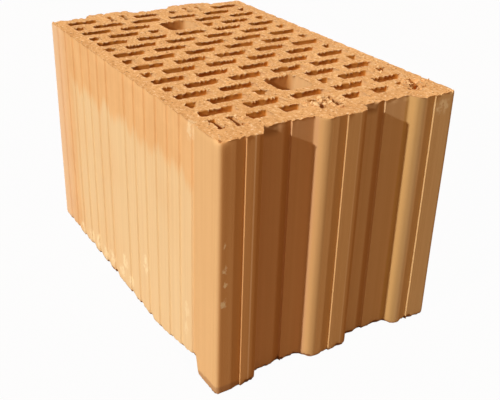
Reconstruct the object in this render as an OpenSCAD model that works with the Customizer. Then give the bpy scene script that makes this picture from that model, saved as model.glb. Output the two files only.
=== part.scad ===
// Vertically perforated clay block with tongue-and-groove ends.
// It is one fired piece: a section pressed through a die and cut to height.
// Millimetres, +Z up along the holes, origin at the middle of the bed face.
// The grooved end faces +X, the tongued end -X, the two ribbed sides -Y and +Y.

/* [Body] */
// Length from the lands of the grooved end to the recesses of the tongued end
block_length = 373; // [300:0.5:450]
// Width over the two ribbed sides
block_width = 240; // [200:0.5:300]
// Height along the holes
block_height = 238; // [100:1:300]
// Radius of the four upright corners
corner_radius = 4; // [2:0.5:9]

/* [Tongues and grooves] */
// Depth of the two grooves below the lands
groove_depth = 10.5; // [7:0.5:13]
// Width of the land between a ribbed side and a groove
side_land = 39; // [34:0.5:44]
// Width of the land between the two grooves
middle_land = 40; // [34:0.5:46]
// Run of a groove's flank across the block
flank_run = 6; // [2:0.5:9]
// How far the tongues of the other end stand out
tongue_out = 9.5; // [6:0.5:12]
// Play left on each flank when a tongue sits in a groove
flank_play = 1.5; // [0.5:0.25:3]
// Rounding of the land edges that face the -Y side
nose_radius = 7; // [2:0.5:9]
// Rounding of the land edges that face the +Y side
edge_radius = 6; // [1:0.5:8]
// Rounding of the tongue edges
tongue_radius = 6; // [2:0.5:8]
// Rounding where a flank meets a floor
floor_radius = 2; // [0.5:0.5:4]

/* [Keying notches of the ends] */
// Place of the outer notches, in from the ribbed sides
outer_notch_inset = 24; // [20:0.5:27]
// How much nearer the middle a groove's notch lies than the groove's centre
groove_notch_shift = 2.5; // [0:0.25:5]
// Depth of a notch
notch_depth = 1.75; // [1:0.25:4]
// Run of the gentle flank of a notch
notch_ramp = 9; // [4:0.5:10]
// Run of the steep flank of a notch
notch_wall = 0.4; // [0.2:0.1:2]

/* [Ribbed sides] */
// Spacing of the narrow bands
rib_pitch = 22.3; // [20:0.1:25]
// Width of the wide band in the middle
wide_band = 42; // [34:0.5:50]
// Depth of the step between two bands
rib_depth = 1.4; // [0.5:0.1:2.5]
// Run of the gentle flank after each step
rib_ramp = 11; // [6:0.5:14]
// Run of the steep flank of each step
rib_wall = 1; // [0.2:0.1:2]

/* [Slots] */
// Spacing of the columns of slots along the length
column_pitch = 21.3; // [19:0.1:25]
// Spacing of the slots in a column
row_pitch = 45.25; // [42:0.25:52]
// Width of a slot
slot_width = 11.6; // [8:0.1:14]
// Length of a full slot
slot_length = 36; // [26:0.5:40]
// Corner radius of a slot
slot_radius = 2.2; // [0.5:0.1:3]
// A slot that the shell would leave shorter than this isn't made
shortest_slot = 7; // [6:0.5:9]
// Clay left outside the outermost slots of a ribbed side
side_shell = 13; // [10:0.5:16]
// Clay left between the tongued end and its first column
end_shell = 14.4; // [10:0.1:18]
// Least clay left between the grooves and the last column
groove_shell = 14; // [12:0.5:16]

/* [Grip holes] */
// Size of a grip hole along the length
grip_length = 35; // [30:0.5:40]
// Size of a grip hole across the block
grip_width = 35; // [30:0.5:40]
// Corner radius of a grip hole
grip_radius = 8; // [3:0.5:12]
// Clay kept between a grip hole and the slots cut short beside it
grip_wall = 9; // [6:0.5:11]
// Whole columns between a grip hole and the end of the block
grip_from_end = 2; // [2:1:4]

/* [End cells] */
// Length of a dog-bone hole behind a land or in a tongue
bone_length = 20; // [15:0.5:22]
// Width of the shank of a dog-bone hole
bone_shank = 4.8; // [3:0.1:5.4]
// Width of the flared ends of a dog-bone hole
bone_flare = 7.4; // [6:0.1:9]
// Length of each flared end
bone_foot = 4.4; // [3:0.1:5]
// Corner radius of the dog-bone holes
bone_radius = 1; // [0.3:0.1:1.4]
// Distance of each dog-bone hole from the middle of its pair
bone_offset = 8; // [7:0.25:10]
// Shift of the dog-bone holes from their column towards the end face
bone_shift = 2.8; // [0:0.1:4]
// Clay between the dog-bone holes and the short slots behind a groove
short_wall = 9.8; // [8:0.1:14]
// Clay between the two short slots behind a groove
short_web = 10.2; // [8:0.1:16]
// Clay between a tongue's dog-bone holes and the slot in the middle recess
recess_wall = 7.5; // [6:0.5:10]
// Clay between that slot and the small hole beside it
recess_web = 14.5; // [10:0.5:18]
// Length of the small hole
recess_hole_length = 10; // [7:0.5:12]
// Clay between the small hole and the other tongue's dog-bone holes
recess_far_wall = 11; // [8:0.5:13]

/* [Hidden] */
// Points on each rounded corner of the outline
arc_steps = 6;
// Fineness of the drawn circles
$fn = 48;
// Half of a length, used for everything that lies about a middle
half_share = 0.5;
// Angle of a straight line, in degrees
straight = 180;
overall_length = block_length + tongue_out;
land_x = overall_length * half_share;
floor_x = land_x - groove_depth;
tip_x = -overall_length * half_share;
recess_x = tip_x + tongue_out;
side_y = block_width * half_share;
groove_mouth = (block_width - 2 * side_land - middle_land) * half_share;
groove_floor = groove_mouth - 2 * flank_run;
groove_y = (middle_land + groove_mouth) * half_share;
grooves = [-groove_y, groove_y];
tongue_root = groove_mouth - 2 * flank_play;
tongue_tip = groove_floor - 2 * flank_play;
// The rounding of a tongue ends before the notch in its face
fillet_share = 0.9;
tongue_corner = straight - atan2(tongue_out, flank_run);
tongue_room = tongue_tip * half_share - groove_notch_shift - notch_ramp;
tongue_round = min(tongue_radius, tongue_room * fillet_share * tan(tongue_corner * half_share));
outer_notch = side_y - outer_notch_inset;
inner_notch = groove_y - groove_notch_shift;
notches = [-outer_notch, -inner_notch, 0, inner_notch, outer_notch];
// As many columns as the length holds between the two end shells
first_column = recess_x + end_shell + slot_width * half_share;
last = floor((floor_x - groove_shell - slot_width * half_share - first_column) / column_pitch);
slot_reach = side_y - side_shell;
outer_row = floor(slot_reach / row_pitch);
grip_columns = [grip_from_end, last - grip_from_end - 1];
// The bands lie about the middle of the slot pattern, as many as it is long
pattern_length = last * column_pitch;
pattern_x = first_column + pattern_length * half_share;
ribs_each_side = floor((pattern_length - wide_band) * half_share / rib_pitch);
bands_length = 2 * ribs_each_side * rib_pitch + wide_band;
bands_start = pattern_x - (bands_length + rib_ramp) * half_share;
steps = [
    for (i = [0 : 2 * ribs_each_side + 1])
        bands_start + i * rib_pitch + (i > ribs_each_side ? wide_band - rib_pitch : 0)
];
// The end cells fill the clay between neighbouring pairs of dog bones
bone_reach = bone_offset + bone_flare * half_share;
short_length = (outer_notch - 2 * bone_reach - 2 * short_wall - short_web) * half_share;
short_y = outer_notch * half_share;
recess_low = recess_wall + bone_reach - inner_notch;
recess_slot_length = 2 * (inner_notch - bone_reach) - recess_wall - recess_web
    - recess_hole_length - recess_far_wall;
recess_hole_low = recess_low + recess_slot_length + recess_web;

// Outline helpers

function unit(v) = v / norm(v);

// Points of the arc of radius r that rounds the corner p between a and b
function arc_at(a, p, b, r) =
    let (
        u = unit(a - p), v = unit(b - p), between = acos(u * v),
        c = p + unit(u + v) * r / sin(between * half_share),
        s = p + u * r / tan(between * half_share) - c,
        way = cross(b - p, p - a) < 0 ? 1 : -1
    ) [
        for (i = [0 : arc_steps])
            let (t = way * (straight - between) * i / arc_steps)
            c + [s.x * cos(t) - s.y * sin(t), s.x * sin(t) + s.y * cos(t)]
    ];

function flat(c) = [c[0], c[1]];

// A closed ring of corners [x, y, radius] as plain points
function rounded(c) = [
    for (i = [0 : len(c) - 1])
        let (n = len(c), a = flat(c[(i + n - 1) % n]), p = flat(c[i]), b = flat(c[(i + 1) % n]))
        each c[i][2] > 0 ? arc_at(a, p, b, c[i][2]) : [p]
];

// The notch at y on a face at x, in the order of rising y; inward is the way into the clay
function notch(x, y, inward) =
    [[x, y - notch_ramp, 0], [x + inward * notch_depth, y, 0], [x, y + notch_wall, 0]];

// A groove about y, from its -Y flank to its +Y flank, with its notch
function groove(y, notch_y) = concat(
    [[land_x, y - groove_mouth * half_share, edge_radius],
     [floor_x, y - groove_floor * half_share, floor_radius]],
    notch(floor_x, notch_y, -1),
    [[floor_x, y + groove_floor * half_share, floor_radius],
     [land_x, y + groove_mouth * half_share, nose_radius]]
);

// A tongue about y, the same way
function tongue(y, notch_y) = concat(
    [[recess_x, y - tongue_root * half_share, floor_radius],
     [tip_x, y - tongue_tip * half_share, tongue_round]],
    notch(tip_x, notch_y, 1),
    [[tip_x, y + tongue_tip * half_share, tongue_round],
     [recess_x, y + tongue_root * half_share, floor_radius]]
);

function grooved_end() = concat(
    notch(land_x, notches[0], -1), groove(grooves[0], notches[1]),
    notch(land_x, notches[2], -1), groove(grooves[1], notches[3]),
    notch(land_x, notches[4], -1)
);

function tongued_end() = concat(
    notch(recess_x, notches[0], 1), tongue(grooves[0], notches[1]),
    notch(recess_x, notches[2], 1), tongue(grooves[1], notches[3]),
    notch(recess_x, notches[4], 1)
);

// A ribbed side from -X to +X; way is -1 for the -Y side and 1 for the +Y side
function ribbed_side(way) = [
    for (x = steps)
        each [[x, way * side_y, 0],
              [x + rib_wall, way * (side_y - rib_depth), 0],
              [x + rib_ramp, way * side_y, 0]]
];

function backwards(c) = [for (i = [len(c) - 1 : -1 : 0]) c[i]];

function outline() = concat(
    [[recess_x, -side_y, corner_radius]], ribbed_side(-1),
    [[land_x, -side_y, corner_radius]], grooved_end(),
    [[land_x, side_y, corner_radius]], backwards(ribbed_side(1)),
    [[recess_x, side_y, corner_radius]], backwards(tongued_end())
);

// Holes

// Place of a column along the length
function column_x(i) = first_column + i * column_pitch;

// True for the two columns that a grip hole takes up
function by_grip(i) = len([for (g = grip_columns) if (i == g || i == g + 1) i]) > 0;

module cell(along, across, r) {
    square([along, across - 2 * r], center = true);
    square([along - 2 * r, across], center = true);
    for (i = [-1, 1], j = [-1, 1])
        translate([i * (along * half_share - r), j * (across * half_share - r)])
            circle(r);
}

// A cell of the slots' width in a column, from low to high across the block
module cell_between(i, low, high) {
    translate([column_x(i), (low + high) * half_share])
        cell(slot_width, high - low, slot_radius);
}

// A slot about y in a column, cut off at the side shells and beside a grip hole
module slot(i, y) {
    low = y - slot_length * half_share;
    high = y + slot_length * half_share;
    keep_off = grip_width * half_share + grip_wall;
    beside = by_grip(i) && min(abs(low), abs(high)) < keep_off;
    from = beside && low > 0 ? keep_off : max(low, -slot_reach);
    to = beside && high < 0 ? -keep_off : min(high, slot_reach);
    if (to - from > shortest_slot)
        cell_between(i, from, to);
}

// Rows of even columns lie about the middle; odd columns lie half a row further out
module slots() {
    for (i = [1 : last - 1]) {
        odd = i % 2;
        for (k = [-outer_row - odd : outer_row]) {
            y = (k + odd * half_share) * row_pitch;
            if (!(by_grip(i) && y == 0))
                slot(i, y);
        }
    }
}

module grips() {
    for (g = grip_columns)
        translate([(column_x(g) + column_x(g + 1)) * half_share, 0])
            cell(grip_length, grip_width, grip_radius);
}

module bone() {
    cell(bone_length, bone_shank, bone_radius);
    for (i = [-1, 1])
        translate([i * (bone_length - bone_foot) * half_share, 0])
            cell(bone_foot, bone_flare, bone_radius);
}

module bone_pair(x, y) {
    for (j = [-1, 1])
        translate([x, y + j * bone_offset])
            bone();
}

// Behind each groove two short slots, behind each land a pair of dog bones
module grooved_end_cells() {
    for (g = [-1, 1], j = [-1, 1])
        translate([column_x(last), g * short_y + j * (short_length + short_web) * half_share])
            cell(slot_width, short_length, slot_radius);
    for (n = [0, 2, 4])
        bone_pair(column_x(last) + bone_shift, notches[n]);
}

// Full slots in the outer recesses, a pair of dog bones in each tongue,
// and a slot with a small hole in the middle recess
module tongued_end_cells() {
    for (j = [-1, 1])
        slot(0, j * outer_row * row_pitch);
    for (n = [1, 3])
        bone_pair(column_x(0) - bone_shift, notches[n]);
    cell_between(0, recess_low, recess_low + recess_slot_length);
    cell_between(0, recess_hole_low, recess_hole_low + recess_hole_length);
}

// The piece

module clay_block() {
    color([0.84, 0.6, 0.37])
        linear_extrude(height = block_height)
            difference() {
                polygon(rounded(outline()));
                slots();
                grips();
                grooved_end_cells();
                tongued_end_cells();
            }
}

clay_block();
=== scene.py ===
# %% [markdown]
# # A hollow clay block, dressed from its CAD model
#
# The block is one fired piece: wet clay is pushed through a die, a wire cuts
# it to length, and the kiln hardens it. The imported CAD model is the shared
# frame. It is loaded first, and its box is kept.

import math

import bpy
import numpy as np
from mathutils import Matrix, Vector
from mathutils.geometry import delaunay_2d_cdt


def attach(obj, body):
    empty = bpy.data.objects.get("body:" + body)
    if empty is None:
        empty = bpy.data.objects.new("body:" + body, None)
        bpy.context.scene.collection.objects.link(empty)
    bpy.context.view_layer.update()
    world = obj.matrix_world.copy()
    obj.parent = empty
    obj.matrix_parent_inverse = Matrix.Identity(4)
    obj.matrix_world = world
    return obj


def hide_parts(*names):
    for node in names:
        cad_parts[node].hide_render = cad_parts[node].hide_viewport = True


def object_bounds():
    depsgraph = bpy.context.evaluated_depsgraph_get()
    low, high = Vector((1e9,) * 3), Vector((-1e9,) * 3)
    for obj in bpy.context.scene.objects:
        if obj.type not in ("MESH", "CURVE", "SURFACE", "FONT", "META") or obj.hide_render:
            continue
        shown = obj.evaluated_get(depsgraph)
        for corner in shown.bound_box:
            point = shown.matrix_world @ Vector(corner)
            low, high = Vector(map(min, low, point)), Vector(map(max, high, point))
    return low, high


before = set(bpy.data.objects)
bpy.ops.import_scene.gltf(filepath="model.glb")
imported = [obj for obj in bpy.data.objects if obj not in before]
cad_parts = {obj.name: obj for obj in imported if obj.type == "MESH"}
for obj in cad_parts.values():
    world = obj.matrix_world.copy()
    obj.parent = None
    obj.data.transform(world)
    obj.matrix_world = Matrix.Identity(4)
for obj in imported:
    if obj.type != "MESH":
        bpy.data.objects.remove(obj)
cad_box = [list(corner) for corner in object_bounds()]
cad_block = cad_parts["clay_block"]
scene = bpy.context.scene
scene.view_settings.view_transform = "Standard"
print("CAD box in metres:", cad_box)

# %% [markdown]
# ## The camera
#
# A camera is three things: where it stands, where it points, and how wide it
# sees. The photograph was taken from a little above the corner between the
# ribbed side and the grooved end. The places of the slots fix its
# distance, and a small downward shift keeps the uprights as steep as they
# are there.

# %% Camera
camera = bpy.data.objects.new("camera", bpy.data.cameras.new("camera"))
scene.collection.objects.link(camera)
camera.location = (0.6267, -0.3710, 0.4593)
camera.rotation_euler = [math.radians(angle) for angle in (64.95, -1.64, 58.19)]
camera.data.sensor_width = 36.0
camera.data.lens = 54.6
camera.data.shift_y = -0.08
camera.data.clip_start = 0.01
camera.data.clip_end = 50.0
scene.camera = camera
print("camera stands", round(camera.location.length, 3), "m from the block's foot")

# %% [markdown]
# ## A short way to make nodes
#
# The fill light, the floor and the clay are all trees of nodes. In the editor
# a node is added, its settings are picked, and its sockets are joined by hand.
# A script does the same three things. One helper that does them in one go
# keeps each node on a line of its own.


# %% Node helpers
def empty_tree(owner):
    """The node tree of a world or a material, with nothing in it."""
    owner.use_nodes = True
    owner.node_tree.nodes.clear()
    return owner.node_tree


def feed(tree, socket, value):
    """Links another node's socket to this one, or sets a plain value on it."""
    if isinstance(value, bpy.types.NodeSocket):
        tree.links.new(value, socket)
    else:
        socket.default_value = value


def put(tree, kind, *fed, **settings):
    """A new node in a tree.

    A setting goes to the node's own property of that name, or else to the
    socket of that name, where an underscore stands for a space. The values
    in fed go to the input sockets in turn.
    """
    node = tree.nodes.new(kind)
    for key, value in settings.items():
        if hasattr(node, key):
            setattr(node, key, value)
        else:
            feed(tree, node.inputs[key.replace("_", " ")], value)
    for socket, value in zip(node.inputs, fed):
        feed(tree, socket, value)
    return node


print("node helpers ready")

# %% [markdown]
# ## Light and floor
#
# Two lamps and a warm fill are enough. The strong lamp stands low on the
# ribbed side, so that each land of the grooved end throws a slanted shadow
# into the groove beside it. A weaker one straight overhead lights the top,
# and the fill keeps the shaded end readable. The fill is warm to the clay, but
# the camera sees white behind the block. The floor is nearly white to the
# camera too, and keeps a faint shadow. What it throws back at the block is
# dimmer and warmer.

# %% Lamps
TO_LAMP = Vector((0.13, -0.90, 0.41))


def sun(name, strength, width, colour):
    """A sun lamp that shines straight down, with a disc so many degrees wide."""
    lamp = bpy.data.objects.new(name, bpy.data.lights.new(name, "SUN"))
    scene.collection.objects.link(lamp)
    lamp.data.energy = strength
    lamp.data.angle = math.radians(width)
    lamp.data.color = colour
    return lamp


key_lamp = sun("key_lamp", 2.55, 1.5, (1.0, 0.97, 0.92))
key_lamp.rotation_euler = TO_LAMP.to_track_quat("Z", "Y").to_euler()
sun("top_lamp", 1.55, 5, (1.0, 0.90, 0.78))
print("key lamp elevation", round(math.degrees(math.asin(TO_LAMP.normalized().z)), 1))

# %% Fill light
WHITE = (1.0, 1.0, 1.0, 1.0)

scene.world = bpy.data.worlds.new("soft_fill")
sky = empty_tree(scene.world)
rays = put(sky, "ShaderNodeLightPath").outputs
fill = put(sky, "ShaderNodeBackground", Color=(1.0, 0.575, 0.31, 1.0), Strength=0.31)
white = put(sky, "ShaderNodeBackground", Color=WHITE)
seen = put(
    sky, "ShaderNodeMath", rays["Is Camera Ray"], rays["Is Glossy Ray"], operation="MAXIMUM"
)
pick = put(sky, "ShaderNodeMixShader", seen.outputs[0], fill.outputs[0], white.outputs[0])
put(sky, "ShaderNodeOutputWorld", Surface=pick.outputs[0])
print("fill light of", len(sky.nodes), "nodes")

# %% Floor
FLOOR_REACH = 6
WHITE_TO_CAMERA = 0.97

square = FLOOR_REACH * np.array([[-1, -1, 0], [1, -1, 0], [1, 1, 0], [-1, 1, 0]])
floor_mesh = bpy.data.meshes.new("floor")
floor_mesh.from_pydata(square.tolist(), [], [(0, 1, 2, 3)])
floor = bpy.data.objects.new("floor", floor_mesh)
scene.collection.objects.link(floor)

pale_floor = bpy.data.materials.new("pale_floor")
ground = empty_tree(pale_floor)
rays = put(ground, "ShaderNodeLightPath").outputs
matt = put(ground, "ShaderNodeBsdfDiffuse", Color=(0.33, 0.22, 0.13, 1.0))
glow = put(ground, "ShaderNodeEmission", Color=WHITE)
share = put(
    ground, "ShaderNodeMath", rays["Is Camera Ray"], WHITE_TO_CAMERA, operation="MULTIPLY"
)
pick = put(ground, "ShaderNodeMixShader", share.outputs[0], matt.outputs[0], glow.outputs[0])
put(ground, "ShaderNodeOutputMaterial", Surface=pick.outputs[0])
floor_mesh.materials.append(pale_floor)
print("floor laid,", 2 * FLOOR_REACH, "m wide")

# %% [markdown]
# ## The section, read from the CAD model
#
# The die gives every slot, groove and rib at once, so the whole block is one
# flat section carried straight down. The section could be drawn again here,
# but then two drawings would have to be kept alike. It is read from the flat
# top of the CAD node instead: an edge that only one triangle of the top uses
# lies on a rim, and the rims are chained into loops.

# %% Rim loops of the top face
# Jumps that double this often lead past any loop's last point
DOUBLINGS = 13


def rim_loops(node, height):
    """Ordered rim points of a node's flat top, in millimetres.

    An edge of the top's triangles with no twin that runs the other way lies
    on a rim, and leads from each rim point to the next. The lowest number
    met while jumping 1, 2, 4, 8 ... points ahead names a loop, and summing
    steps over the same jumps gives each point's place in it.
    """
    mesh = node.data
    mesh.calc_loop_triangles()
    spot = np.empty(len(mesh.vertices) * 3, np.float32)
    mesh.vertices.foreach_get("co", spot)
    corner = np.empty(len(mesh.loop_triangles) * 3, np.int32)
    mesh.loop_triangles.foreach_get("vertices", corner)
    spot = np.round(spot.reshape(-1, 3).astype(float) * 1000, 3)
    spot, merged = np.unique(spot, axis=0, return_inverse=True)
    corner = merged.ravel()[corner].reshape(-1, 3).astype(np.int64)
    flat = corner[(spot[corner][:, :, 2] > height - 0.01).all(axis=1)]
    here, ahead = flat.ravel(), np.roll(flat, -1, axis=1).ravel()
    count = len(spot)
    alone = ~np.isin(here * count + ahead, ahead * count + here)
    here, ahead = here[alone], ahead[alone]
    row = np.argsort(here)
    here, ahead = here[row], ahead[row]
    following = np.searchsorted(here, ahead)

    number = np.arange(len(here))
    name, jump = number.copy(), following.copy()
    for _ in range(DOUBLINGS):
        name, jump = np.minimum(name, name[jump]), jump[jump]
    first = name == number
    left = np.where(first, 0, 1)
    jump = np.where(first, number, following)
    for _ in range(DOUBLINGS):
        left, jump = left + left[jump], jump[jump]
    loop = np.searchsorted(number[first], name)
    size = np.bincount(loop)
    place = (size[loop] - left) % size[loop]
    row = np.lexsort((place, loop))
    return spot[here[row]][:, :2], loop[row]


def next_in_loop(loop):
    """Index of the next point in the same loop: one on, or back to its first."""
    size = np.bincount(loop)
    start = np.cumsum(size) - size
    number = np.arange(len(loop))
    return start[loop] + (number - start[loop] + 1) % size[loop]


def cut_finer(points, loop, step):
    """Cuts each rim edge into equal parts no longer than step, keeping its ends."""
    ahead = points[next_in_loop(loop)]
    parts = np.ceil(np.linalg.norm(ahead - points, axis=1) / step).astype(int)
    parts = np.maximum(parts, 1)
    edge = np.repeat(np.arange(len(points)), parts)
    part = np.arange(parts.sum()) - np.repeat(np.cumsum(parts) - parts, parts)
    share = (part / parts[edge])[:, None]
    return points[edge] * (1 - share) + ahead[edge] * share, loop[edge]


HEIGHT = (cad_box[1][2] - cad_box[0][2]) * 1000
rim, loop = rim_loops(cad_block, HEIGHT)
print("top face of", loop.max() + 1, "loops and", len(rim), "CAD points")

# %% [markdown]
# The widest loop is the outline, so the loops are sorted by how far they
# reach, and the outline is number 0. Long edges are cut finer, because a tooth
# of torn clay needs points of its own. The outward direction at a point is
# the line through its two neighbours, turned right.

# %% Sorted loops and their outward directions
RIM_STEP = 1.4

loop_span = np.array([np.ptp(rim[loop == k], axis=0).max() for k in range(loop.max() + 1)])
loop = np.argsort(np.argsort(-loop_span))[loop]
row = np.argsort(loop, kind="stable")
rim, loop = cut_finer(rim[row], loop[row], RIM_STEP)
following = next_in_loop(loop)
before = np.argsort(following)
along = rim[following] - rim[before]
along /= np.linalg.norm(along, axis=1)[:, None]
outward = np.stack([along[:, 1], -along[:, 0]], axis=1)
skin_points = int((loop == 0).sum())
hole_rim, hole_out, hole_loop = rim[skin_points:], outward[skin_points:], loop[skin_points:] - 1
print(loop.max(), "holes,", skin_points, "outline points,", len(rim), "in all")

# %% [markdown]
# ## Noise for clay
#
# Torn clay has no pattern, but a script has to give the same block each time.
# A lattice noise does both: every corner of a lattice gets a number mixed
# from its coordinates, and the values between corners are eased.

# %% Lattice noise
AXIS_MIX = np.array([374761393, 668265263, 1103515245])
SEED_MIX = 97531
LAST_MIX = 1274126177
LOW_BITS = 0xFFFFFFFF


def lattice_noise(points, size, seed):
    """Smooth noise from -1 to 1 with lumps of about the given size.

    The whole-number coordinates of a cell's eight corners are mixed into
    eight values, and the result is their mean, weighted by the eased
    distance to each corner along x, y and z.
    """
    scaled = np.asarray(points, float) / size
    cell = np.floor(scaled).astype(np.int64)
    ease = scaled - cell
    ease = ease * ease * (3 - 2 * ease)
    total = 0
    for k in range(8):
        side = np.array([k & 1, k >> 1 & 1, k >> 2 & 1])
        mixed = ((cell + side) * AXIS_MIX).sum(axis=-1)
        mixed = (mixed + seed * SEED_MIX) & LOW_BITS
        mixed = ((mixed ^ (mixed >> 13)) * LAST_MIX) & LOW_BITS
        mixed = mixed ^ (mixed >> 16)
        weight = np.prod(np.where(side == 1, ease, 1 - ease), axis=-1)
        total = total + weight * (mixed / (LOW_BITS >> 1) - 1)
    return total


def bump(value, middle, reach):
    """1 at the middle, falling smoothly to 0 at the reach on either side."""
    share = np.clip(1 - np.abs(value - middle) / reach, 0, 1)
    return share * share * (3 - 2 * share)


def ramp(value, low, high):
    """0 below low, 1 above high, eased between."""
    share = np.clip((value - low) / (high - low), 0, 1)
    return share * share * (3 - 2 * share)


print("noise in the middle of a cell:", lattice_noise(np.zeros((1, 3)) + 0.5, 1.0, 1))

# %% [markdown]
# ## The skin
#
# The outside of the block is the outline carried down in rings. Where the die
# shaped it, it is smooth, with only a slow wave. At the top the wire tore the
# edge, so the first rings are pulled in and out. At the foot the edge is
# broken: the skin ends a few millimetres up, and below it stands a rough
# set-back band. A sculpted mesh would do as well, but a formula for each ring
# can be read and changed.

# %% Torn top edge and broken foot
# Places on the section and lengths, in millimetres
NEAR_CORNER = (190, -119)
NOTCHES = (-96, -48, 0, 48, 96)
GROOVED_END, LAND_FACES = 170, 186
CHIP_HEIGHT = 12.5


def torn_edge(flat, down, side):
    """Push and sag of the skin at the depth down, and the raggedness behind them.

    The push is a ragged lip at the cut, less a hollow just under it where
    clay pulled out. The near corner is broken back, and a tongue of clay is
    left in each notch. The sag is the positive part of a noise, with more of it
    at that corner.
    """
    x, y = flat[:, 0], flat[:, 1]
    on_end = x > GROOVED_END
    ragged = lattice_noise(flat, 2.4, 3) + 0.7 * lattice_noise(flat, 6, 4)
    lip_height = np.where(side, 0.25, np.where(on_end, 0.9, 0.35))
    lip = lip_height * ragged - np.where(side, 0.5, 0.1)
    hollow_depth = np.where(side, 0.3, 0.5) * (x < LAND_FACES)
    hollow = hollow_depth * ramp(lattice_noise(flat, 8, 5), -0.3, 0.2)
    corner = bump(np.hypot(x - NEAR_CORNER[0], y - NEAR_CORNER[1]), 0, 13)
    push = np.exp(-((down / 0.9) ** 2)) * lip
    push -= hollow * bump(down, 1.9, 1.8)
    push -= 2.0 * corner * np.exp(-down / 1.6)
    for notch in NOTCHES:
        push += 1.1 * on_end * bump(y, notch + 0.6, 2.6) * np.exp(-down / 2.6)
    sag_depth = np.where(side, 0.4, 1.3)
    sag = sag_depth * np.maximum(0, lattice_noise(flat, 3.4, 6) + 0.2)
    sag += 2.2 * corner * (0.8 + 0.5 * ragged)
    return push, np.exp(-down / 0.9) * sag, ragged


def broken_foot(flat, side):
    """Height at which the skin ends above the foot, and the long chip's part in it.

    It is the sum of the positive parts of a fine and a coarse noise, of the
    depth between the ribs, and of a chip that climbs along the ribbed side
    and ends short of the near corner.
    """
    x, y = flat[:, 0], flat[:, 1]
    broken = 1.2 + 2.4 * np.maximum(0, lattice_noise(flat, 3.5, 7))
    broken += 6.0 * np.maximum(0, lattice_noise(flat, 11, 8) - 0.05)
    between_ribs = np.clip(np.abs(y).max() - np.abs(y), 0, 2)
    between_ribs *= 0.5 + lattice_noise(flat, 30, 18)
    chip = CHIP_HEIGHT * ramp(x, 70, 150) * (1 - ramp(x, 152, 160)) * (y < -114)
    return np.where(side, 0.6 * broken + between_ribs, broken) + chip, chip


print("the chip climbs to", CHIP_HEIGHT, "mm")

# %% Rings of the skin
# Rings lie close together at both ends. Their depths are for this height
TABLE_HEIGHT = 238
SKIN_DEPTH = np.array(
    [0, 0.5, 1.2, 2.2, 3.6, 6, 10, 16, 26, 50, 85, 120, 155, 190]
    + [212, 222, 229, 233.5, 236.2, 237.4, 238]
)
RIB_ROOM = 3.5
SQUEEZED = 30
CHIP_TOP = 14


def skin_rings(points, outward):
    """Rings of the outside, top to foot, as an array of levels by points by xyz.

    A ring is the outline, pushed along its outward direction by the slow wave
    of the skin, the torn top edge and the broken foot. Low heights are
    squeezed upward, so that the skin's last ring ends at the foot's break.
    Two more rings close the set-back band below it.
    """
    down = SKIN_DEPTH[:, None]
    height = HEIGHT - down * HEIGHT / TABLE_HEIGHT
    flat = np.column_stack([points, np.zeros(len(points))])
    at = np.broadcast_to(flat, (len(down), *flat.shape)).copy()
    at[..., 2] = height
    side = np.abs(points[:, 1]) > np.abs(points[:, 1]).max() - RIB_ROOM
    push = 0.22 * lattice_noise(at, (60, 60, 90), 1)
    push += 0.06 * lattice_noise(at, (7, 7, 60), 2)
    torn_push, sag, ragged = torn_edge(flat, down, side)
    push += torn_push
    z = height - sag

    broken, chip = broken_foot(flat, side)
    low = z < SQUEEZED
    z = np.where(low, broken + z * (SQUEEZED - broken) / SQUEEZED, z)
    push -= 0.6 * np.exp(-np.maximum(z - broken, 0) / 0.8) * low
    back = 1.3 + 0.3 * broken + 0.6 * ragged + 0.5 * chip
    z = np.concatenate([z, [z[-1] - 0.3 * broken, np.zeros(len(points))]])
    push = np.concatenate([push, [-0.75 * back, -back]])
    away = outward.copy()
    away[chip > 0.5] = (0, -1)
    ring = points + np.where((z < CHIP_TOP)[..., None], away, outward) * push[..., None]
    return np.concatenate([ring, z[..., None]], axis=2), broken


skin, broken = skin_rings(rim[:skin_points], outward[:skin_points])
print("skin of", skin.shape[0], "rings, broken up to", round(broken.max(), 1), "mm")

# %% [markdown]
# ## The slots
#
# Each hole's wall is its loop carried down the same way. Inside it is plain.
# The first few millimetres are what shows: the wire drags small teeth of clay
# over the rim, most of them where it leaves the clay for the hole, and they
# hang into the dark. Modelling teeth one by one would take days. Noise along
# the rim gives thousands, and a table says how much each ring takes of it.


# %% Tables for the rings of a hole
def column(*values):
    """One number for each ring, top to foot, as a column that meets a row of points."""
    return np.array(values, float)[:, None]


WALL_DEPTH = column(0, 0.2, 0.6, 1.6, 7, 235.5, 238)
TOOTH_OUT = column(0.35, 0.45, 0.3, 0.05, 0, 0, 0)
BROKEN_BACK = column(1, 0.9, 0.25, 0, 0, 0, 0)
TOOTH_DOWN = column(0.15, 0.7, 1, 0.9, 0, 0, 0)
RIM_WAVE = column(1, 0.9, 0.7, 0.3, 0, 0, 0)
FOOT_WAVE = column(0, 0, 0, 0, 0, 0.1, 0.7)
print(len(WALL_DEPTH), "rings in a hole")


# %% Rings of the hole walls
TORN_PLACE = (159, 100)
CRATER_START, CRATER_RUN = np.array([150, 107]), np.array([19, -14])
CRATER_DEPTH, CRATER_REACH = 16.0, 4.2
LAYER_GAP = 13.7
DEEPEST_BREAK, LONGEST_TOOTH = -1.1, 2.0


def crater(points):
    """Depth of the torn-out place behind the far land.

    It is deepest on a slanted line across two bone-shaped holes, and falls
    off with the distance from that line.
    """
    share = (points - CRATER_START) @ CRATER_RUN / (CRATER_RUN @ CRATER_RUN)
    nearest = CRATER_START + np.clip(share, 0, 1)[:, None] * CRATER_RUN
    return CRATER_DEPTH * bump(np.hypot(*(points - nearest).T), 0, CRATER_REACH)


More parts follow.
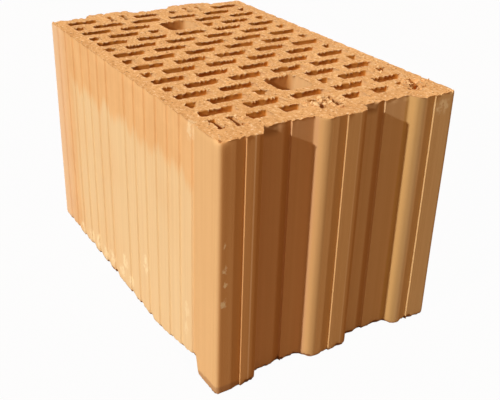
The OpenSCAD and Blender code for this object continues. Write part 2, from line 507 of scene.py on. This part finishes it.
def hole_rings(points, outward, loop, width):
    """Rings of the hole walls, top to foot, as levels by points by xyz.

    A rim point is pushed into its hole by a tooth, which is the positive
    part of two noises, or back into the clay where a crumb broke out. A
    tooth hangs: the rings below the rim are let down by its length. At the
    foot a gentler noise does the pushing. Narrow holes take smaller teeth,
    and each loop has a layer of the noise to itself.
    """
    flat = np.column_stack([points, loop * LAYER_GAP])
    room = np.clip((width - 4) / 7, 0.4, 1.1)
    fine = lattice_noise(flat, (1.35, 1.35, 1), 11)
    lumps = lattice_noise(flat, (6, 6, 1), 12)
    trailing = 0.35 + 0.85 * ramp(outward[:, 0], -0.3, 0.7)
    tooth = (3.0 * fine + 0.7 * lumps) * trailing * room
    tooth = np.clip(tooth, DEEPEST_BREAK, LONGEST_TOOTH)
    torn = bump(np.hypot(*(points - TORN_PLACE).T), 0, 18)
    tooth -= 1.5 * torn * np.maximum(0, 0.4 + lumps)

    foot = 1.2 * lattice_noise(flat, (2.4, 2.4, 1), 13) * room
    push = np.where(tooth > 0, TOOTH_OUT, BROKEN_BACK) * tooth + FOOT_WAVE * foot
    wave = 0.35 * lattice_noise(flat, (2.7, 2.7, 1), 14) - 0.12
    hang = 0.6 * np.maximum(0, tooth) * ramp(outward[:, 0], 0, 0.6)
    z = HEIGHT - WALL_DEPTH * HEIGHT / TABLE_HEIGHT
    z = z + RIM_WAVE * wave - TOOTH_DOWN * hang
    z = z - np.exp(-WALL_DEPTH / 7) * crater(points)
    ring = points + outward * push[..., None]
    return np.concatenate([ring, z[..., None]], axis=2), tooth


width_of_hole = np.array([np.ptp(hole_rim[hole_loop == k], axis=0).min() for k in range(loop.max())])
hole_width = width_of_hole[hole_loop]
holes, tooth = hole_rings(hole_rim, hole_out, hole_loop + 1, hole_width)
print("hole walls of", holes.shape[0], "rings, longest tooth", round(tooth.max(), 1), "mm")

# %% [markdown]
# ## The cut faces
#
# The top and the foot are flat faces with close to a hundred holes. A
# constrained Delaunay triangulation fills them between the loops. It is worked
# out on the clean section, where no edges cross, and the torn positions are
# put in afterwards. On the top, loose points between the holes carry the drag
# marks of the wire.


# %% Triangles between the loops
def fill_between(points, loop, loose):
    """Triangles of the clay between the loops, counter-clockwise from above.

    Every triangle lies wholly in the clay or in a hole. One whose corners
    belong to different loops, or to a loose point, is clay. One with all
    three on one loop is clay where its corners, in loop order, turn left.
    """
    count = len(points)
    every = np.concatenate([points, loose])
    edges = np.column_stack([np.arange(count), next_in_loop(loop)])
    made = delaunay_2d_cdt(every.tolist(), edges.tolist(), [], 0, 1e-7)
    if len(made[0]) != len(every):
        raise ValueError("the triangulation merged or added points")
    owner = np.concatenate([loop, -1 - np.arange(len(loose))])
    tri = np.sort(np.array(made[2]), axis=1)
    a, b, c = every[tri[:, 0]], every[tri[:, 1]], every[tri[:, 2]]
    turn = (b - a)[:, 0] * (c - a)[:, 1] - (b - a)[:, 1] * (c - a)[:, 0]
    one = (owner[tri] == owner[tri][:, :1]).all(axis=1)
    tri, turn = tri[~one | (turn > 0)], turn[~one | (turn > 0)]
    return np.where((turn > 0)[:, None], tri, tri[:, ::-1])


def loose_points(points, outward, spacing, clear):
    """Jittered points of the clay, at least clear away from any rim.

    They start as a grid of triangles. A point is in the clay where it lies
    behind its nearest rim point.
    """
    low, high = points.min(axis=0), points.max(axis=0)
    across = np.arange(low[0], high[0], spacing)
    up = np.arange(low[1], high[1], spacing * 0.87)
    grid_x, grid_y = np.meshgrid(across, up)
    grid_x = grid_x + spacing / 2 * (np.arange(len(up)) % 2)[:, None]
    spots = np.column_stack([grid_x.ravel(), grid_y.ravel()])
    jitter = np.random.default_rng(21).uniform(-0.3, 0.3, spots.shape)
    spots = spots + spacing * jitter
    chosen = []
    for some in np.array_split(spots, 40):
        gap = ((some[:, None, :] - points[None]) ** 2).sum(axis=2)
        near = gap.argmin(axis=1)
        behind = ((some - points[near]) * outward[near]).sum(axis=1) < 0
        chosen.append(some[behind & (gap.min(axis=1) > clear**2)])
    return np.concatenate(chosen)


loose = loose_points(rim, outward, spacing=3.0, clear=1.5)
top_faces = fill_between(rim, loop, loose)
foot_faces = fill_between(rim, loop, np.zeros((0, 2)))[:, ::-1]
print(len(loose), "loose points,", len(top_faces), "top and", len(foot_faces), "foot triangles")

# %% [markdown]
# ## One mesh
#
# The skin, the walls and the cut faces share their rim points, so they close
# into one watertight piece. Its points are laid out in one long row: the rings
# of the skin, then the rings of the holes, then the loose points. The faces of
# the top use the first ring of each, and those of the foot use the last.


# %% Points and faces of the block
def wall_faces(offset, levels, following):
    """Quads between rings: each point, the one below, and the next pair along."""
    here = np.arange(len(following))
    upper = offset + np.arange(levels - 1)[:, None] * len(following)
    lower = upper + len(following)
    quads = [upper + here, lower + here, lower + following, upper + following]
    return np.stack(quads, axis=-1).reshape(-1, 4)


flat = np.column_stack([loose, np.zeros(len(loose))])
drag = 0.30 * lattice_noise(flat, (5, 20, 1), 15) + 0.55 * lattice_noise(flat, 3.2, 16)
loose_top = np.column_stack([loose, HEIGHT - 0.3 + drag - crater(loose)])
spots = np.concatenate([skin.reshape(-1, 3), holes.reshape(-1, 3), loose_top])

skin_levels, hole_levels, hole_points = len(skin), len(holes), len(hole_rim)
hole_start = skin_levels * skin_points
loose_start = hole_start + hole_levels * hole_points
skin_quads = wall_faces(0, skin_levels, following[:skin_points])
hole_quads = wall_faces(hole_start, hole_levels, next_in_loop(hole_loop))
quads = np.concatenate([skin_quads, hole_quads])

in_skin, in_hole = np.arange(skin_points), hole_start + np.arange(hole_points)
top_spot = np.concatenate([in_skin, in_hole, loose_start + np.arange(len(loose))])
skin_foot, hole_foot = (skin_levels - 1) * skin_points, (hole_levels - 1) * hole_points
foot_spot = np.concatenate([in_skin + skin_foot, in_hole + hole_foot])
triangles = np.concatenate([top_spot[top_faces], foot_spot[foot_faces]])
print(len(spots), "points in the block")

# %% [markdown]
# Three numbers are kept at each point for the finish: how torn the clay is
# there, how far it shows the raw inside of a hole, and how pale it is. The
# pale share is a painted highlight on the teeth at the rim, and the crumbs
# are pale all over. The walls that face the lamp take less of the raw tone,
# which is painted light, in a narrow hole only near its rim. The wide grip
# holes are less raw than the slots, and the torn-out place is raw right up to
# its edge.

# %% Numbers for the finish
TORN_WALL = column(1, 0.8, 0.4, 0.1, 0, 0, 0)
TORN_TOOTH = column(0, 1, 1, 0, 0, 0, 0)
RAW_WALL = column(0, 0.55, 0.95, 1, 1, 1, 1)
RAW_CRATER = column(1, 1, 1, 0, 0, 0, 0)
TOOTH_COVERS = column(0, 0.5, 0.25, 0, 0, 0, 0)
NEAR_RIM = column(1, 1, 1, 0.6, 0, 0, 0)
# Painted highlight: how much of the pale tone the teeth take, ring by ring
TOOTH_HIGHLIGHT = column(1, 0.3, 0, 0, 0, 0, 0)

on_tooth = np.clip(tooth, 0, 1)
skin_torn = 1 - ramp(HEIGHT - skin[..., 2], 0.4, 1.4)
skin_torn = np.maximum(skin_torn, 1 - ramp(skin[..., 2] - broken, -0.4, 0.8))
hole_torn = np.maximum(TORN_WALL, TORN_TOOTH * on_tooth)

# Painted light: walls that face the lamp take less of the raw tone, so they show paler
facing_lamp = ramp(-hole_out[:, 1], 0.3, 0.9)
in_slot, in_grip = ramp(hole_width, 8, 11), ramp(hole_width, 15, 30)
raw = RAW_WALL * (1 - 0.95 * facing_lamp * np.maximum(in_slot, NEAR_RIM))
raw *= (1 - 0.3 * in_grip) * (1 - TOOTH_COVERS * on_tooth)
raw = np.maximum(raw, RAW_CRATER * ramp(crater(hole_rim), 3, 8))

no_skin, no_loose = np.zeros(skin_torn.size), np.zeros(len(loose))
torn = np.concatenate([skin_torn.ravel(), hole_torn.ravel(), no_loose + 1])
inside = np.concatenate([no_skin, raw.ravel(), ramp(crater(loose), 3, 8)])
pale = np.concatenate([no_skin, (TOOTH_HIGHLIGHT * on_tooth).ravel(), no_loose])
print("mean torn, inside, pale:", [round(float(kind.mean()), 3) for kind in (torn, inside, pale)])


# %% The block
def build_piece(name, spots, quads, triangles, numbers, sharp):
    """A mesh object from points in millimetres, with named numbers at each point.

    Edges that turn by more than sharp degrees stay sharp.
    """
    mesh = bpy.data.meshes.new(name)
    mesh.vertices.add(len(spots))
    mesh.vertices.foreach_set("co", (spots / 1000).astype(np.float32).ravel())
    corners = np.concatenate([quads.ravel(), triangles.ravel()])
    sizes = np.concatenate([np.full(len(quads), 4), np.full(len(triangles), 3)])
    mesh.loops.add(len(corners))
    mesh.loops.foreach_set("vertex_index", corners.astype(np.int32))
    mesh.polygons.add(len(sizes))
    mesh.polygons.foreach_set("loop_start", (np.cumsum(sizes) - sizes).astype(np.int32))
    mesh.update(calc_edges=True)
    mesh.validate()
    for key, values in numbers.items():
        layer = mesh.attributes.new(key, "FLOAT", "POINT")
        layer.data.foreach_set("value", values.astype(np.float32))
    mesh.shade_smooth()
    mesh.set_sharp_from_angle(angle=math.radians(sharp))
    piece = bpy.data.objects.new(name, mesh)
    scene.collection.objects.link(piece)
    return piece


numbers = {"torn": torn, "inside": inside, "pale": pale}
clay_block = build_piece("fired_block", spots, quads, triangles, numbers, sharp=38)
print("block of", 2 * len(quads) + len(triangles), "triangles")

# %% [markdown]
# ## Crumbs
#
# Broken bits of clay lie on the torn top, most of them where the wire tore
# the small bone-shaped holes. Each is a lump: a ball whose radius is shaken by
# noise. All of them are worked out at once, as one array.

# %% Crumb lumps
BALL_ROWS, BALL_COLUMNS = 5, 8
FLAKE = np.array([1.0, 0.7, 0.34])


def crumb_lumps(centres, sizes, seed):
    """Lumps as crumbs by rows by columns by xyz, and their faces.

    On a ball with angle a round it and b from pole to pole, the radius is
    its size times one plus noise. Each lump is flattened to a flake, turned
    about the upright and tipped a little.
    """
    a = np.linspace(0, 2 * np.pi, BALL_COLUMNS, endpoint=False)
    b = np.linspace(0, np.pi, BALL_ROWS)
    b, a = np.meshgrid(b, a, indexing="ij")
    ball = np.stack([np.sin(b) * np.cos(a), np.sin(b) * np.sin(a), np.cos(b)], axis=-1)
    tilt = np.random.default_rng(seed).normal(size=(len(centres), 3, 3))
    turn, _ = np.linalg.qr(tilt * [1, 1, 0.35] + [[0, 0, 0], [0, 0, 0], [0, 0, 2.0]])
    apart = 3.0 * np.arange(len(centres))[:, None, None, None]
    radius = 1 + 0.4 * lattice_noise(ball + apart, 0.8, seed)
    lumps = np.einsum("nij,nrcj->nrci", turn, ball * radius[..., None] * FLAKE)
    lumps = centres[:, None, None, :] + sizes[:, None, None, None] * lumps
    here = np.arange(ball[..., 0].size).reshape(BALL_ROWS, BALL_COLUMNS)
    right = np.roll(here, -1, axis=1)
    quad = np.stack([here[:-1], here[1:], right[1:], right[:-1]], axis=-1).reshape(-1, 4)
    quad = quad + (np.arange(len(centres)) * here.size)[:, None, None]
    return lumps.reshape(-1, 3), quad.reshape(-1, 4)


print("a crumb has", 2 * (BALL_ROWS - 1) * BALL_COLUMNS, "triangles")

# %% Crumbs in heaps
# Each row is a heap: its x and y in millimetres, how many crumbs, and their size
HEAPS = np.array(
    [
        [160, 1, 44, 1.4],
        [157, 101, 18, 1],
        [114, -33, 6, 1],
        [159, -94, 8, 1],
        [111, 104, 4, 1],
        [-164, -53, 6, 1],
    ]
)
HEAP_SPREAD = (5.5, 9)

rng = np.random.default_rng(5)
heap = np.repeat(HEAPS, HEAPS[:, 2].astype(int), axis=0)
around = heap[:, :2] + rng.normal(0, 1, (len(heap), 2)) * HEAP_SPREAD
nearest = ((around[:, None] - loose[None]) ** 2).sum(axis=2).argmin(axis=1)
crumb_size = rng.uniform(0.8, 2.2, len(heap)) * heap[:, 3]
shift = np.column_stack([rng.uniform(-1, 1, (len(heap), 2)), 0.35 * crumb_size])
crumb_spots, crumb_quads = crumb_lumps(loose_top[nearest] + shift, crumb_size, 9)
every = np.ones(len(crumb_spots))
numbers = {"torn": every, "pale": 0.8 * every}
crumbs = build_piece(
    "loose_crumbs", crumb_spots, crumb_quads, np.zeros((0, 3), int), numbers, sharp=60
)
print(len(heap), "crumbs")

# %% [markdown]
# ## Fired clay
#
# One material serves the whole block, because it is one clay. It could be
# painted as an image, but then the block would have to be unwrapped, and the
# paint would blur close up. Nodes work the colour out at every point instead,
# from the point's place on the model and the three numbers kept there. A
# share from 0 to 1 says how much of a tone a point takes, and shares are
# multiplied where two things have to hold at once.

# %% Helpers for the clay
# Sockets of a Mix node that are used for colours
FIRST_COLOUR, SECOND_COLOUR, MIXED_COLOUR = 6, 7, 2

fired_clay = bpy.data.materials.new("fired_clay_finish")
clay = empty_tree(fired_clay)
place = put(clay, "ShaderNodeTexCoord").outputs["Object"]


def calculate(operation, *values):
    """The result of a Math node. Each value is a socket or a number."""
    return put(clay, "ShaderNodeMath", *values, operation=operation).outputs[0]


def product(share, *others):
    """Shares multiplied together."""
    for other in others:
        share = calculate("MULTIPLY", share, other)
    return share


def span(value, low, high, to_low=0.0, to_high=1.0):
    """An eased Map Range: low becomes to_low, and high becomes to_high."""
    numbers = (value, low, high, to_low, to_high)
    node = put(clay, "ShaderNodeMapRange", *numbers, interpolation_type="SMOOTHSTEP")
    return node.outputs["Result"]


def between(value, start, full, hold, stop):
    """A share that rises from start to full, and falls from hold to stop."""
    return product(span(value, start, full), span(value, stop, hold))


def tint(share, below, above):
    """A Mix of two colours by a share. A colour is a socket or red, green and blue."""
    node = put(clay, "ShaderNodeMix", share, data_type="RGBA")
    for k, colour in ((FIRST_COLOUR, below), (SECOND_COLOUR, above)):
        colour = (*colour, 1.0) if isinstance(colour, tuple) else colour
        feed(clay, node.inputs[k], colour)
    return node.outputs[MIXED_COLOUR]


def noise(scale, stretch=(1, 1, 1), detail=2.0, roughness=0.6):
    """Noise on Object coordinates with that many lumps to the metre, stretched."""
    scaled = put(clay, "ShaderNodeMapping", Vector=place, Scale=stretch).outputs[0]
    node = put(clay, "ShaderNodeTexNoise", scaled, Scale=scale, Detail=detail, Roughness=roughness)
    return node.outputs["Fac"]


def kept(name):
    """A number that the mesh keeps at each of its points."""
    return put(clay, "ShaderNodeAttribute", attribute_name=name).outputs["Fac"]


print("clay helpers ready")

# %% [markdown]
# Object coordinates are metres on the model, so that places for the tones can
# be measured there. Noise on them gives the grain and the blotches. The same
# noise stretched along the height gives the streaks of the die.

# %% Places and noises
px, py, pz = put(clay, "ShaderNodeSeparateXYZ", place).outputs
torn_share = kept("torn")
grain = noise(1100)
mottle = noise(320, detail=4.0, roughness=0.75)
blotch = noise(26, detail=3.0)
cloud = noise(9)
streak = noise(330, stretch=(1, 1, 0.012))
broad_streak = noise(70, stretch=(1, 1, 0.02))
wobble = product(calculate("SUBTRACT", broad_streak, 0.5), 0.05)
print(len(clay.nodes), "nodes for places and noises")

# %% [markdown]
# ### The die skin
#
# The ribbed side is pale tan in its middle and more orange above. The pale
# zone starts in uneven tongues, which the streaks of the die shift up and
# down. It ends at a strip beside the near corner and fades toward the far end.

# %% Tone of the skin
on_side = span(py, -0.112, -0.116)
below_band = span(calculate("ADD", pz, wobble), 0.196, 0.180)
before_strip = span(px, 0.151, 0.147)
before_far_end = span(calculate("ADD", px, wobble), -0.150, -0.105)
uneven = span(cloud, 0.2, 0.6, 0.65, 1.0)
pale_zone = product(below_band, before_strip, before_far_end, on_side, uneven)
far_end = product(span(px, -0.12, -0.18), span(py, -0.095, -0.113), 0.9)
near_strip = product(span(px, 0.150, 0.153), on_side, 0.8)

skin_tone = tint(span(blotch, 0.3, 0.7), (0.80, 0.50, 0.235), (0.85, 0.555, 0.27))
skin_tone = tint(far_end, skin_tone, (0.84, 0.615, 0.40))
skin_tone = tint(pale_zone, skin_tone, (0.85, 0.66, 0.385))
skin_tone = tint(near_strip, skin_tone, (0.765, 0.51, 0.25))
print("skin toned")

# %% [markdown]
# ### The grooved end
#
# The end is redder and darker than the ribbed side. This is partly its own
# tone and partly painted shade, as the end gets only grazing lamp light. It
# is redder by the near corner and paler by the far one, and the recessed
# groove floors are painted paler and bluer, which is painted light. Its finer
# marks are upright strips of painted light, so one table holds them all:
# painted shade in the inner corners of the grooves under the cut, on the
# gentle flanks of their notches, on the noses of the lands and where they
# turn away, and on the flank past a land's other edge, with a thin painted
# highlight along that edge.

# %% Strips of painted light on the grooved end
# Edges of a strip, in metres from its place: start, full, still full, stop
INNER_CORNER = (0.003, 0.006, 0.018, 0.022)
NOTCH_FLANK = (-0.009, -0.005, -0.001, 0.0)
NOSE_FRONT = (-0.007, -0.004, 0.003, 0.007)
NOSE_TURN = (-0.0035, -0.0005, 0.0025, 0.006)
LAND_FLANK = (0.0, 0.002, 0.007, 0.009)
HIGHLIGHT_LINE = (-0.0010, -0.0004, 0.0004, 0.0010)
# Colours of painted shade and of a painted highlight for the strips
CORNER_PAINTED_SHADE, FLANK_PAINTED_SHADE = (0.38, 0.20, 0.08), (0.49, 0.225, 0.065)
NOSE_FRONT_PAINTED_SHADE, NOSE_TURN_PAINTED_SHADE = (0.64, 0.41, 0.165), (0.30, 0.18, 0.07)
EDGE_PAINTED_HIGHLIGHT = (0.92, 0.70, 0.44)

# Painted shade in the inner corners of the grooves grows toward the cut
corner_shade_share = span(pz, 0.226, 0.233, 0.0, 0.8)
# Each row is a strip of painted shade or highlight: its place along y, its edges, its strength and
# its colour
strips = [
    (-0.0810, INNER_CORNER, corner_shade_share, CORNER_PAINTED_SHADE),
    (0.0200, INNER_CORNER, corner_shade_share, CORNER_PAINTED_SHADE),
    (-0.0480, NOTCH_FLANK, 0.75, FLANK_PAINTED_SHADE),
    (0.0480, NOTCH_FLANK, 0.75, FLANK_PAINTED_SHADE),
    (0.0770, NOSE_FRONT, 1.0, NOSE_FRONT_PAINTED_SHADE),
    (-0.0200, NOSE_TURN, 0.3, NOSE_TURN_PAINTED_SHADE),
    (0.0805, NOSE_TURN, 0.55, NOSE_TURN_PAINTED_SHADE),
    (-0.0880, LAND_FLANK, 0.6, FLANK_PAINTED_SHADE),
    (-0.0880, HIGHLIGHT_LINE, 0.5, EDGE_PAINTED_HIGHLIGHT),
    (0.0132, LAND_FLANK, 0.6, FLANK_PAINTED_SHADE),
    (0.0132, HIGHLIGHT_LINE, 0.2, EDGE_PAINTED_HIGHLIGHT),
]
print(len(strips), "strips on the grooved end")

# %% Tone of the grooved end
# Partly painted shade: the end, which gets only grazing lamp light, is redder and darker than the
# side
end_tone_and_painted_shade = tint(span(py, -0.11, 0.02), (0.67, 0.375, 0.15), (0.69, 0.435, 0.19))
end_tone_and_painted_shade = tint(span(py, 0.05, 0.12), end_tone_and_painted_shade, (0.74, 0.525, 0.26))
# Painted light: the recessed groove floors take a paler, bluer tone than the lands
groove_floor_painted_light = tint(span(py, -0.02, 0.04), (0.68, 0.405, 0.20), (0.73, 0.50, 0.265))
end_tone_and_painted_shade = tint(span(px, 0.186, 0.183), end_tone_and_painted_shade, groove_floor_painted_light)
# Each strip lays painted shade or a painted highlight over the end's tone
for middle, edges, strength, painted_colour in strips:
    past = calculate("SUBTRACT", py, middle)
    end_tone_and_painted_shade = tint(product(between(past, *edges), strength), end_tone_and_painted_shade, painted_colour)

on_end = product(span(px, 0.165, 0.176), span(py, -0.1195, -0.1165))
skin_tone = tint(on_end, skin_tone, end_tone_and_painted_shade)
skin_tone = tint(span(streak, 0.35, 0.7, 0.0, 0.10), skin_tone, (0.50, 0.27, 0.10))
skin_tone = tint(span(broad_streak, 0.45, 0.75, 0.0, 0.16), skin_tone, (0.86, 0.60, 0.32))
print("grooved end toned")

# %% [markdown]
# ### Torn clay and the inside of the holes
#
# Torn clay is more orange than the skin, with pale grit and dark pits. Its
# mottles are partly the grit's own tone and partly painted light: painted
# shade on their low spots and painted highlight on their high ones, and the
# dark of the pits is painted shade. Inside the holes the clay is redder still,
# and darker toward the far end. Just under the cut it is darker again, which
# is painted shade under the torn lip. The grip holes let in more light, and
# their walls take a duller tone, which is painted shade. The numbers kept in
# the mesh then lay these tones over the skin.

# %% Tone of torn clay
torn_tone = tint(span(blotch, 0.3, 0.7), (0.69, 0.39, 0.16), (0.79, 0.475, 0.21))
# Partly painted light: low mottles are painted dark as shade, high ones pale as highlight, over the
# grit's own tone
torn_tone = tint(span(mottle, 0.47, 0.33, 0.0, 0.85), torn_tone, (0.44, 0.19, 0.055))
torn_tone = tint(span(mottle, 0.53, 0.66, 0.0, 0.85), torn_tone, (0.95, 0.775, 0.52))
torn_tone = tint(span(grain, 0.50, 0.72, 0.0, 0.4), torn_tone, (0.88, 0.58, 0.31))
# The pits are dented by the bump and painted dark, which is painted shade
cells = put(clay, "ShaderNodeTexVoronoi", Vector=place, Scale=210.0)
pit = product(span(cells.outputs["Distance"], 0.26, 0.12), span(noise(75), 0.47, 0.60))
torn_tone = tint(product(pit, 0.75), torn_tone, (0.25, 0.09, 0.022))
print("torn clay toned")

# %% Tone inside the holes
GRIP_WIDTH = 30

raw_tone = tint(span(grain, 0.35, 0.65), (0.88, 0.415, 0.09), (0.92, 0.46, 0.12))
# Painted shade: the wall just under the cut is darker, shaded by the torn lip
raw_tone = tint(span(pz, 0.2335, 0.2368, 0.0, 0.6), raw_tone, (0.60, 0.24, 0.035))
raw_tone = tint(span(px, 0.06, -0.14, 0.0, 0.5), raw_tone, (0.66, 0.28, 0.045))
# Painted shade: a duller tone is laid on the walls of each grip hole
grips = np.flatnonzero(width_of_hole > GRIP_WIDTH)
for grip in grips:
    grip_x, grip_y = (hole_rim[hole_loop == grip].mean(axis=0) / 1000).tolist()
    off_x = calculate("ABSOLUTE", calculate("SUBTRACT", px, grip_x))
    off_y = calculate("ABSOLUTE", calculate("SUBTRACT", py, grip_y))
    at_grip = span(calculate("MAXIMUM", off_x, off_y), 0.0205, 0.0185)
    raw_tone = tint(at_grip, raw_tone, (0.74, 0.34, 0.085))
colour = tint(torn_share, skin_tone, torn_tone)
colour = tint(kept("inside"), colour, raw_tone)
# The pale share is a painted highlight on the rim teeth, and the crumbs are pale all over
colour = tint(product(kept("pale"), 0.7), colour, (0.92, 0.68, 0.38))
print(len(grips), "grip holes toned")

# %% [markdown]
# ### Scuffs and the foot
#
# Handling has left cream scuffs on the ribbed side and along the near edge of
# the end. Each is a soft patch round a spot, with an edge shaken by noise and
# broken into flecks. The broken foot is darker, and so is the skin just above
# it, most of all at the near corner.

# %% Where the scuffs lie
SIDE, END = -0.120, 0.191
# Each row is a scuff: its middle, its reach along each axis, and its strength
SCUFFS = [
    ((0.146, SIDE, 0.232), (0.009, 0.008, 0.012), 0.5),
    ((-0.122, SIDE, 0.008), (0.008, 0.008, 0.011), 0.9),
    ((-0.093, SIDE, 0.011), (0.008, 0.008, 0.010), 0.9),
    ((-0.074, SIDE, 0.016), (0.007, 0.008, 0.012), 0.9),
    ((-0.053, SIDE, 0.011), (0.008, 0.008, 0.010), 0.9),
    ((-0.034, SIDE, 0.015), (0.008, 0.008, 0.012), 0.9),
    ((0.002, SIDE, 0.030), (0.010, 0.008, 0.010), 0.9),
    ((-0.007, SIDE, 0.014), (0.010, 0.008, 0.008), 0.9),
    ((0.015, SIDE, 0.013), (0.008, 0.008, 0.008), 0.9),
    ((0.054, SIDE, 0.056), (0.006, 0.008, 0.013), 0.9),
    ((0.139, SIDE, 0.058), (0.006, 0.008, 0.010), 0.5),
    ((0.137, SIDE, 0.036), (0.006, 0.008, 0.010), 0.5),
    ((END, -0.1135, 0.148), (0.008, 0.002, 0.003), 0.9),
    ((END, -0.1128, 0.126), (0.008, 0.003, 0.005), 0.9),
    ((END, -0.1128, 0.112), (0.008, 0.003, 0.005), 0.9),
    ((END, -0.1132, 0.094), (0.008, 0.003, 0.005), 0.9),
    ((END, 0.105, 0.226), (0.008, 0.010, 0.010), 0.9),
]
print(len(SCUFFS), "scuffs")

# %% Scuffs
SHAKE = (0.012, 0.012, 0.012)


def vector_math(operation, *values, output="Vector"):
    """The result of a Vector Math node. Each value is a socket or a triple."""
    node = put(clay, "ShaderNodeVectorMath", *values, operation=operation)
    return node.outputs[output]


def scuff_patches(scuffs):
    """The strongest of several soft patches.

    A patch is one less the distance to its middle over its reach along each
    axis, at a place that noise has shaken.
    """
    shake = put(clay, "ShaderNodeTexNoise", Vector=place, Scale=160.0, Detail=3.0)
    centred = vector_math("SUBTRACT", shake.outputs["Color"], (0.5, 0.5, 0.5))
    moved = vector_math("MULTIPLY_ADD", centred, SHAKE, place)
    strongest = 0.0
    for middle, reach, strength in scuffs:
        away = vector_math("DIVIDE", vector_math("SUBTRACT", moved, middle), reach)
        far = vector_math("LENGTH", away, output="Value")
        patch = span(far, 1.0, 0.45, 0.0, strength)
        strongest = calculate("MAXIMUM", strongest, patch)
    return strongest


flecks = noise(260, stretch=(1, 1, 0.6), detail=4.0, roughness=0.7)
cream = product(scuff_patches(SCUFFS), span(flecks, 0.40, 0.56, 0.1, 1.0))
colour = tint(cream, colour, (0.95, 0.82, 0.54))
print("scuffs toned")

# %% The darker foot
foot = product(torn_share, span(pz, 0.016, 0.006), 0.8)
colour = tint(foot, colour, (0.36, 0.17, 0.07))
# Darker towards the foot, most of all at the near corner
to_corner = calculate("ADD", calculate("SUBTRACT", px, py), wobble)
foot_darkening_top = span(to_corner, 0.265, 0.305, 0.003, 0.009)
foot_darkening = span(calculate("SUBTRACT", foot_darkening_top, pz), -0.001, 0.002, 0.0, 0.6)
colour = tint(foot_darkening, colour, (0.40, 0.215, 0.11))
print("foot toned")

# %% [markdown]
# ### Relief and shader
#
# The grain is too fine for the mesh, so a Bump node tilts the light instead.
# It is deeper on torn clay, where the mottles stand up and the pits go in. The
# shader is nearly without gloss, as fired clay is.

# %% Relief and shader
relief = product(grain, span(torn_share, 0.0, 1.0, 0.3, 0.8))
relief = calculate("ADD", relief, product(mottle, torn_share, 2.0))
relief = calculate("SUBTRACT", relief, product(pit, torn_share, 0.8))
relief = calculate("ADD", relief, product(streak, 0.22))
rough = put(clay, "ShaderNodeBump", Height=relief, Strength=0.6, Distance=0.0008)
shader = put(
    clay,
    "ShaderNodeBsdfPrincipled",
    Base_Color=colour,
    Roughness=span(torn_share, 0.0, 1.0, 0.80, 0.96),
    Specular_IOR_Level=0.04,
    Normal=rough.outputs[0],
)
put(clay, "ShaderNodeOutputMaterial", Surface=shader.outputs[0])
print(len(clay.nodes), "nodes in the clay finish")

# %% [markdown]
# ## The pieces on the frame
#
# Each piece takes the clay finish and rides on the root body, and the CAD
# node of the block is hidden.

# %% Pieces ride on the frame
for piece in (clay_block, crumbs):
    piece.data.materials.append(fired_clay)
    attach(piece, "root")
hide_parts("clay_block")
